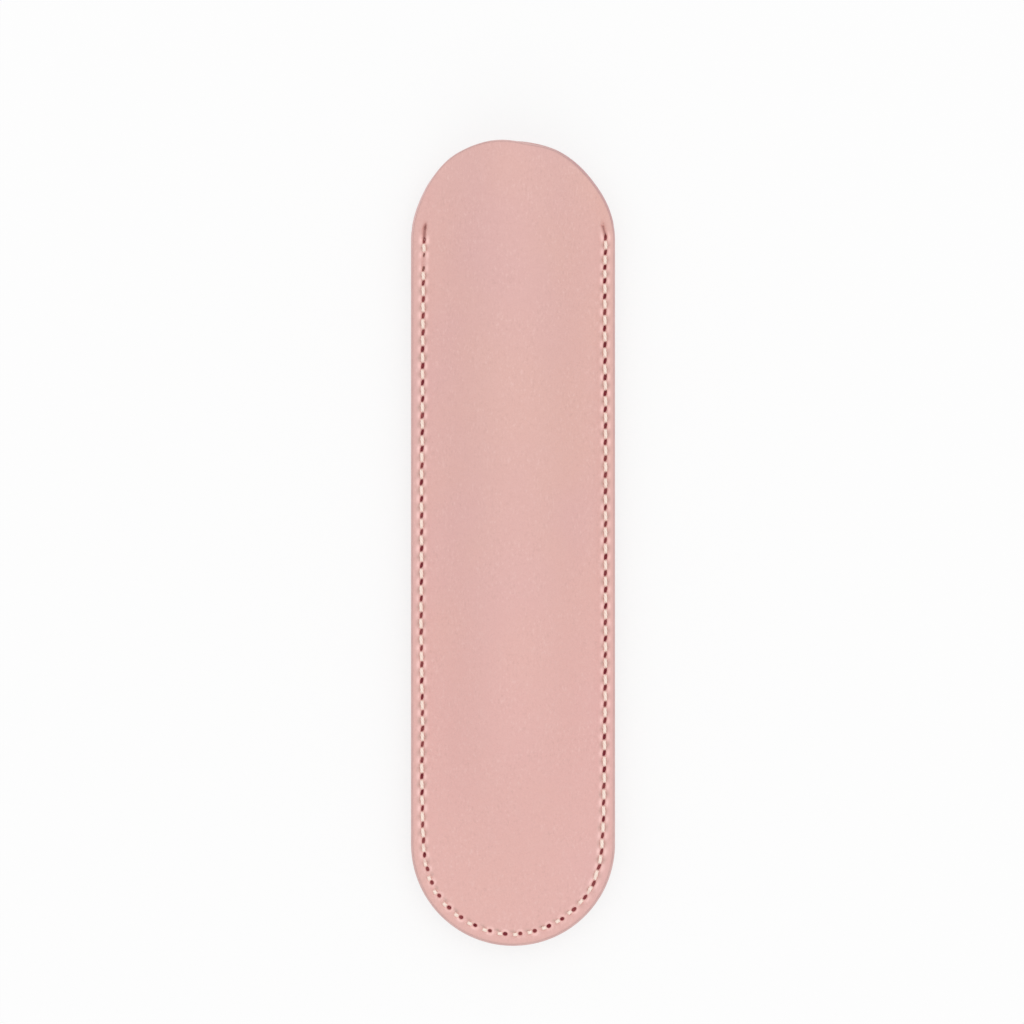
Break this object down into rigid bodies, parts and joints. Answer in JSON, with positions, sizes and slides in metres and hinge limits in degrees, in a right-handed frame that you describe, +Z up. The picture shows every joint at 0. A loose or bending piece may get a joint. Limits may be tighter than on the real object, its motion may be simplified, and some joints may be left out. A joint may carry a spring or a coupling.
{
  "type": "pen sleeve",
  "caption": "Slim lined leather sleeve for one pen, sewn round its sides and closed end, with a rounded open mouth whose front lip flexes.",
  "frame": {"origin": "under the middle of the sleeve, on the surface it lies on", "axes": "+Y towards the mouth, +X to the right seen from the front panel, +Z up out of the front panel"},
  "size_m": [0.04, 0.158, 0.016],
  "materials": {
    "leather": "fine satin grain",
    "lining": "short brushed nap",
    "thread": "waxed, twisted",
    "edge_coat": "smooth satin"
  },
  "bodies": {
    "sleeve": {"back_leather": "leather", "back_lining": "lining", "front_leather": "leather", "front_lining": "lining", "needle_thread": "thread", "bobbin_thread": "thread", "seam_edge_coat": "edge_coat", "back_lip_edge_coat": "edge_coat"},
    "front_lip": {"front_lip_leather": "leather", "front_lip_lining": "lining", "front_lip_edge_coat": "edge_coat"}
  },
  "joints": [
    {"name": "lip_flex", "type": "hinge", "parent": "sleeve", "child": "front_lip", "pos_m": [0, 0.062, 0.01605], "axis": [1, 0, 0], "range_deg": [0, 18], "stiffness_Nm_per_rad": 0.03}
  ]
}
